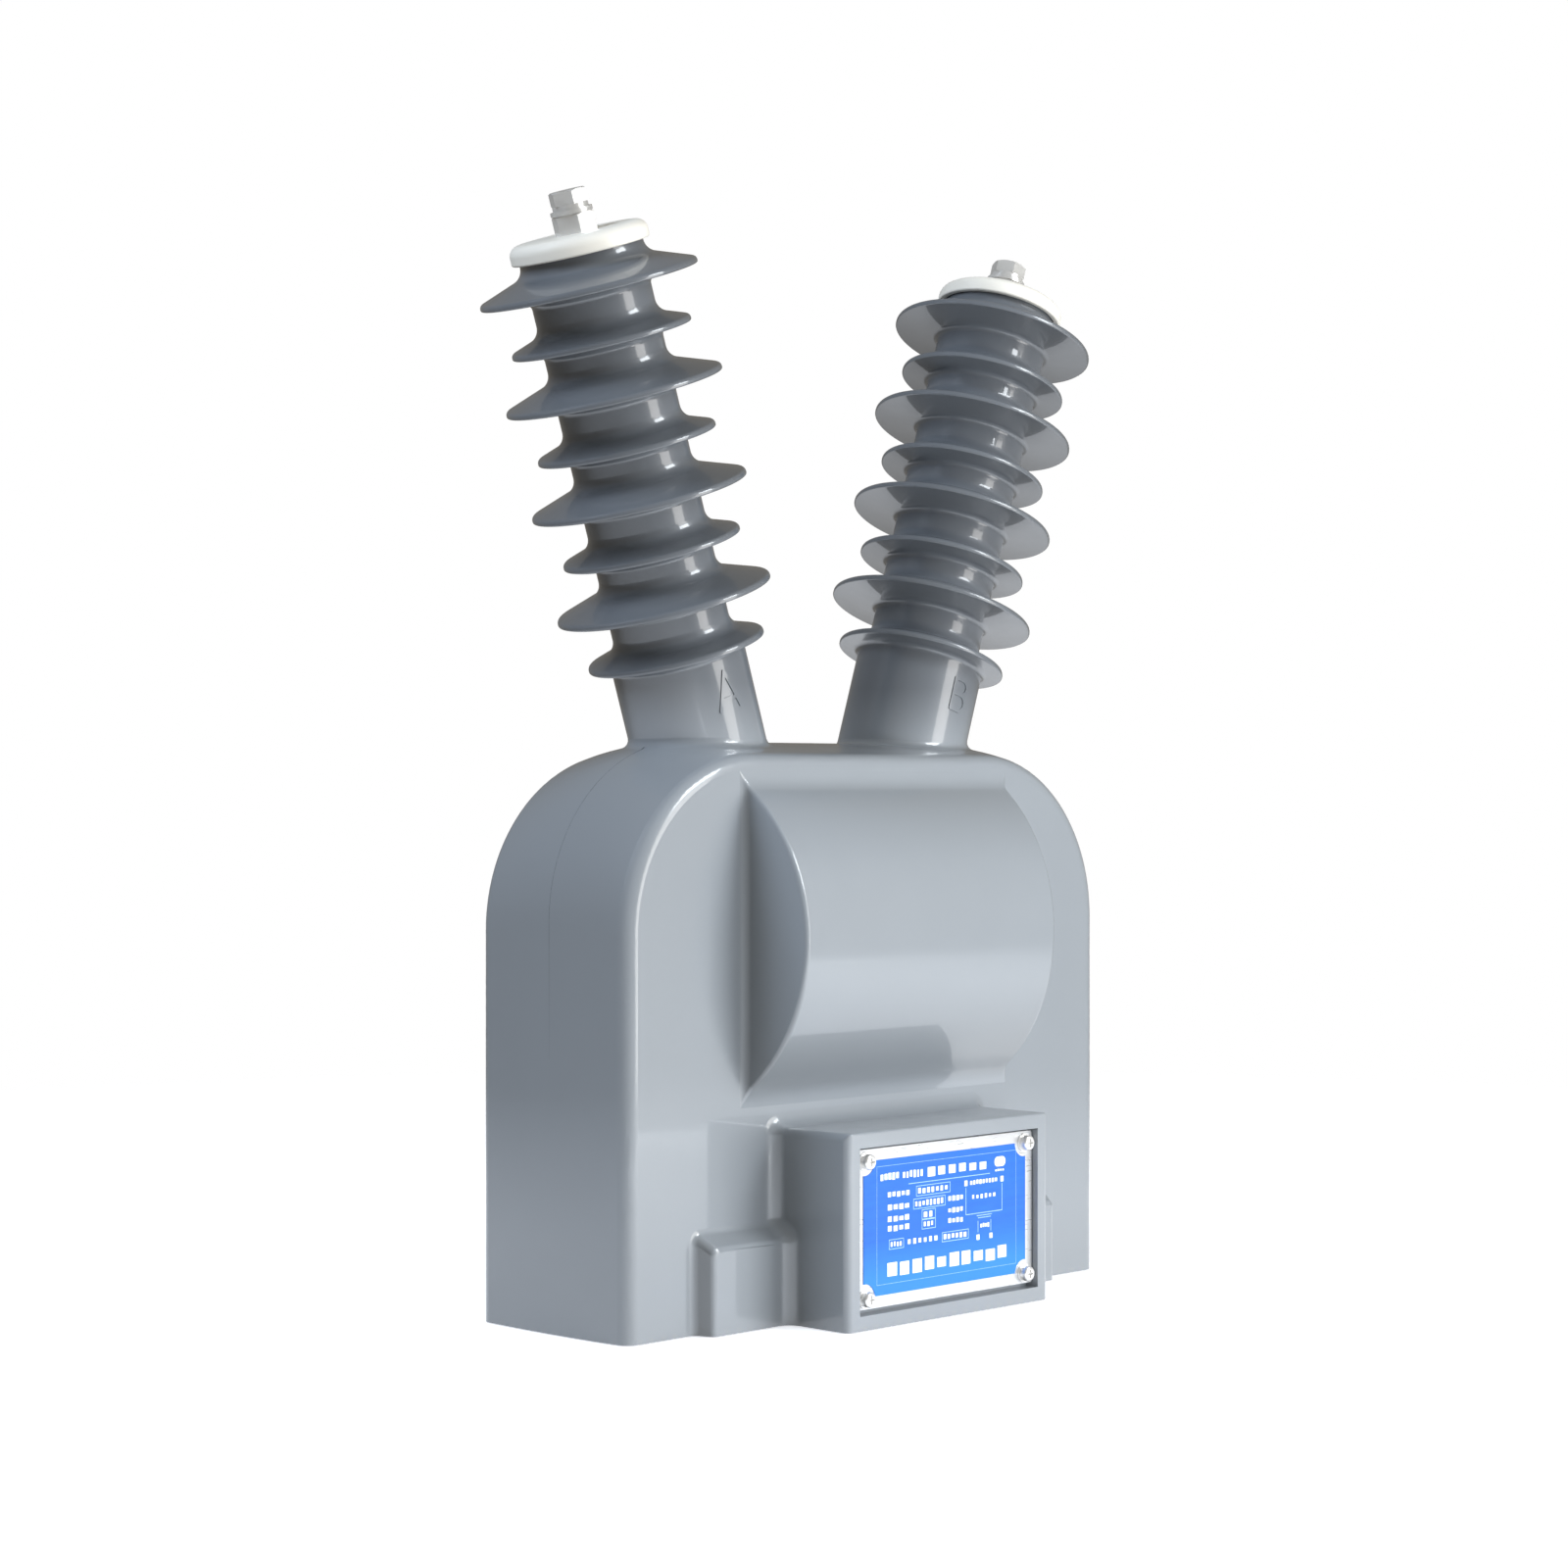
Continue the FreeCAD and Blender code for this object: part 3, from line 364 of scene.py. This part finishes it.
def rounded(x0, z0, x1, z1, radius, steps=4):
    """The outline of a rectangle with rounded corners."""
    points = []
    corners = ((x1, z1, 0), (x0, z1, 90), (x0, z0, 180), (x1, z0, 270))
    for x, z, start in corners:
        centre_x = x - math.copysign(radius, x - (x0 + x1) / 2)
        centre_z = z - math.copysign(radius, z - (z0 + z1) / 2)
        for k in range(steps + 1):
            angle = math.radians(start + 90 * k / steps)
            points.append((centre_x + radius * math.cos(angle), centre_z + radius * math.sin(angle)))
    return points


# ------------------------------------------------------------- rating label

class Print:
    """Flat shapes laid on the label's face. Places are in millimetres from the label's centre."""

    INK = 0.05 * MM

    def __init__(self):
        low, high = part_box("rating_label")
        self.centre = ((low.x + high.x) / 2, (low.z + high.z) / 2)
        self.face = low.y
        self.outlines = []

    def block(self, x0, z0, x1, z1, radius=0.25):
        corner = min(radius, 0.45 * (x1 - x0), 0.45 * (z1 - z0))
        self.outlines.append([(self.centre[0] + x * MM, self.centre[1] + z * MM)
                              for x, z in rounded(x0, z0, x1, z1, corner)])

    def line(self, x0, z0, x1, z1, width=0.35):
        if abs(x1 - x0) > abs(z1 - z0):
            self.block(x0, z0 - width / 2, x1, z0 + width / 2, 0.1)
        else:
            self.block(x0 - width / 2, z0, x0 + width / 2, z1, 0.1)

    def frame(self, x0, z0, x1, z1, width=0.3):
        for z in (z0, z1):
            self.line(x0 - width / 2, z, x1 + width / 2, z, width)
        for x in (x0, x1):
            self.line(x, z0 + width / 2, x, z1 - width / 2, width)

    def word(self, x0, x1, z0, height, count, draw, gap=0.25):
        """A run of plain blocks, a little uneven, that stands for printed words."""
        step = (x1 - x0) / count
        for k in range(count):
            left = x0 + k * step
            wide = step * (1.0 - gap - 0.10 * draw.random())
            foot = z0 + height * (0.06 + 0.16 * draw.random())
            head = z0 + height * (0.94 - 0.16 * draw.random())
            self.block(left, foot, left + wide, head, 0.2)

    def piece(self, name, material):
        def build(work):
            for outline in self.outlines:
                plate(work, outline, self.face, self.face - self.INK)

        new_piece(name, mesh_from(build), material, "cover")


def print_heading(words, rules, draw):
    """A heading with a plain round mark after it, and a rule below."""
    words.word(-46.5, -33.0, 21.4, 4.0, 5, draw)
    words.word(-31.0, -16.0, 21.2, 4.4, 6, draw, 0.35)
    words.word(-13.5, 31.5, 20.6, 5.4, 6, draw, 0.28)
    words.block(35.0, 21.6, 43.0, 26.4, 2.3)
    words.word(35.5, 42.5, 19.2, 1.3, 4, draw)
    rules.line(-27.0, 18.8, 31.5, 18.8)


def print_rows(words, rules, draw):
    """Five rows of words, with boxed words among them."""
    rows = (
        (13.2, -21.5, 2.5, 5, 7),
        (7.2, -23.5, -1.0, 4, 8),
        (1.6, -17.5, -8.0, 4, 2),
        (-2.8, -17.5, -8.0, 4, 3),
    )
    for z, left, right, names, figures in rows:
        words.word(-41.5, -25.5, z, 3.3, names, draw)
        rules.frame(left, z - 0.7, right, z + 4.0)
        words.word(left + 1.2, right - 0.6, z, 3.3, figures, draw, 0.35)
    for z in (7.6, 2.0, -3.0):
        words.word(1.2, 12.6, z, 3.1, 4, draw)
    rules.frame(-40.5, -10.8, -30.5, -6.4)
    words.word(-39.5, -31.0, -10.1, 3.0, 4, draw, 0.35)
    words.word(-27.5, -5.0, -10.1, 3.1, 6, draw, 0.4)
    rules.frame(-3.2, -11.0, 15.8, -6.6)
    words.word(-2.2, 15.2, -10.3, 3.1, 6, draw, 0.3)


def print_windings(words, rules, draw):
    """A sketch of the windings: a wide coil box over a narrow one, with a block at each of its four ends."""
    wide, narrow = (14.0, 40.5), (22.8, 32.2)
    words.word(17.0, 37.5, 14.0, 2.8, 9, draw)
    for x in wide:
        rules.line(x, 0.3, x, 13.4)
        words.block(x - 1.1, 14.1, x + 1.1, 16.8)
    rules.line(wide[0], 0.3, wide[1], 0.3)
    words.word(18.5, 37.0, 7.0, 2.7, 6, draw, 0.45)
    rules.line(narrow[0] - 1.0, -0.9, narrow[1] + 0.8, -0.9)
    rules.line(narrow[0], -2.0, narrow[1], -2.0)
    for x in narrow:
        rules.line(x, -9.0, x, -3.4)
    words.word(24.5, 31.4, -7.4, 3.0, 4, draw)
    for left in (21.7, 31.2):
        words.block(left, -12.6, left + 2.2, -10.0)


def print_label():
    """Plain blocks laid out like a rating plate, over a bottom line of large blocks, inside a thin border."""
    draw = random.Random(7)
    words, rules = Print(), Print()
    print_heading(words, rules, draw)
    print_rows(words, rules, draw)
    print_windings(words, rules, draw)
    words.word(-41.8, 46.0, -24.2, 8.0, 10, draw, 0.2)
    rules.frame(-49.0, -26.8, 51.0, 28.6, 0.16)
    words.piece("label_words", print_ink("white_ink", (0.86, 0.90, 0.95), (0.66, 0.76, 0.92)))
    rules.piece("label_rules", print_ink("pale_ink", (0.36, 0.58, 0.92), (0.22, 0.46, 0.90)))


# ------------------------------------------------------------- parting line

FLASH_SIZE = 0.18 * MM
FLASH_SECTION = ((-0.6, -1.0), (0.55, 0.0), (-0.6, 1.0))
FLASH_TOP = 272 * MM
FLASH_FULL_AFTER = 30


def side_outline(casting, side):
    """Points up one side of the casting in its middle plane, where rays towards a point inside it meet it."""
    low_angle, step, count = -22.0, 1.3, 97
    low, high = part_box("resin_body")
    inside = Vector((side * high.x * 0.42, 0.0, high.z * 0.52))
    points = []
    for k in range(count):
        angle = math.radians(low_angle + step * k)
        way = Vector((side * math.cos(angle), 0.0, math.sin(angle)))
        hit = casting.ray_cast(inside + way * (high.x - low.x), -way)[0]
        if hit is not None and hit.z < FLASH_TOP:
            points.append(hit)
    return points


def flash_rings(work, points, side):
    """A low three-cornered section at each point, thin at the foot of the side and full higher up."""
    rings = []
    for k, point in enumerate(points):
        after = points[min(k + 1, len(points) - 1)]
        before = points[max(k - 1, 0)]
        out = Vector((0.0, 1.0, 0.0)).cross((after - before).normalized()) * side
        size = FLASH_SIZE * (0.25 + 0.75 * min(1.0, k / FLASH_FULL_AFTER))
        rings.append([work.verts.new(point + out * a * size + Vector((0.0, b * size, 0.0)))
                      for a, b in FLASH_SECTION])
    return rings


def parting_line(material):
    """A hair-thin web of flash down each side of the casting, where the mould's halves met, darkened with
    painted shade.
    """
    casting = BVHTree.FromObject(NODES["resin_body"], bpy.context.evaluated_depsgraph_get())

    def build(work):
        for side in (-1, 1):
            join_rings(work, flash_rings(work, side_outline(casting, side), side))

    new_piece("parting_line", mesh_from(build), material, "housing")


# --------------------------------------------------------- floor, light, view

AIM = Vector((-0.01359, 0.0, 0.25362))
EYE = Vector((-1.1733, -1.1360, 0.2550))
LENS_MM = 75.3
FLOOR_HALF_SIZE = 6.0
LIGHTS_AIM = Vector((0.0, 0.0, 0.26))


def turn_to(thing, place, target):
    """Puts a light or the camera at a place, facing the target."""
    thing.location = place
    thing.rotation_euler = (target - place).to_track_quat("-Z", "Y").to_euler()


def add_floor():
    def build(work):
        bmesh.ops.create_grid(work, x_segments=4, y_segments=4, size=FLOOR_HALF_SIZE)

    mesh = mesh_from(build)
    floor = bpy.data.objects.new("studio_floor", mesh)
    mesh.materials.append(studio_floor())
    bpy.context.scene.collection.objects.link(floor)
    floor.location.z = -0.5 * MM
    floor.visible_diffuse = False


def add_panel(name, azimuth, rise, distance, size, watts, colour=(1.0, 1.0, 1.0), mirrored=True):
    """A soft light panel of (width, height) size that faces the object, shown in its gloss only if mirrored.

    The azimuth is the compass angle from +X towards +Y, in degrees, and the rise is above the lights' aim.
    """
    turn = math.radians(azimuth)
    light = bpy.data.lights.new(name, "AREA")
    light.shape = "RECTANGLE"
    light.size, light.size_y = size
    light.energy = watts
    light.color = colour
    lamp = bpy.data.objects.new(name, light)
    lamp.visible_glossy = mirrored
    bpy.context.scene.collection.objects.link(lamp)
    place = LIGHTS_AIM + Vector((math.cos(turn) * distance, math.sin(turn) * distance, rise))
    turn_to(lamp, place, LIGHTS_AIM)


def add_lights():
    """A tall window with a low and a high part on the right, and soft fills that don't show in the gloss."""
    add_panel("window", -67.0, 0.12, 1.6, (0.60, 0.9), 7.8, (1.0, 0.98, 0.95))
    add_panel("window_above", -67.0, 0.95, 1.6, (0.64, 0.6), 17.0, (0.91, 0.96, 1.0))
    add_panel("right_fill", -50.0, -0.05, 1.6, (0.50, 0.5), 1.2, mirrored=False)
    add_panel("side_fill", -25.0, 0.35, 1.6, (0.50, 0.8), 2.0, mirrored=False)
    add_panel("front_top", -100.0, 1.35, 1.1, (1.0, 0.6), 6.0, (0.92, 0.97, 1.0), mirrored=False)
    add_panel("left_panel", 163.0, 1.15, 1.5, (0.6, 1.2), 31.0, (0.74, 0.85, 1.0), mirrored=False)
    add_panel("table_bounce", -85.0, -0.25, 0.75, (1.0, 0.25), 10.5, (0.92, 0.96, 1.0), mirrored=False)


def add_world():
    """An even, dim and slightly warm surround, with a white backdrop."""
    world = bpy.data.worlds.new("studio")
    bpy.context.scene.world = world
    world.use_nodes = True
    nodes, links = world.node_tree.nodes, world.node_tree.links
    nodes.clear()

    def background(colour, strength):
        node = nodes.new("ShaderNodeBackground")
        node.inputs["Color"].default_value = (*colour, 1.0)
        node.inputs["Strength"].default_value = strength
        return node.outputs[0]

    seen = nodes.new("ShaderNodeLightPath")
    mix = nodes.new("ShaderNodeMixShader")
    links.new(seen.outputs["Is Camera Ray"], mix.inputs[0])
    links.new(background((1.0, 0.93, 0.82), 0.19), mix.inputs[1])
    links.new(background((1.0, 1.0, 1.0), 1.0), mix.inputs[2])
    links.new(mix.outputs[0], nodes.new("ShaderNodeOutputWorld").inputs["Surface"])


def add_camera():
    lens = bpy.data.cameras.new("camera")
    lens.sensor_width = 36.0
    lens.lens = LENS_MM
    lens.clip_start = 0.01
    view = bpy.data.objects.new("camera", lens)
    bpy.context.scene.collection.objects.link(view)
    turn_to(view, EYE, AIM)
    bpy.context.scene.camera = view


dress_nodes(finishes())
print_label()
parting_line(flash_painted_shade())
add_floor()
add_world()
add_lights()
add_camera()
bpy.context.scene.view_settings.view_transform = "Standard"
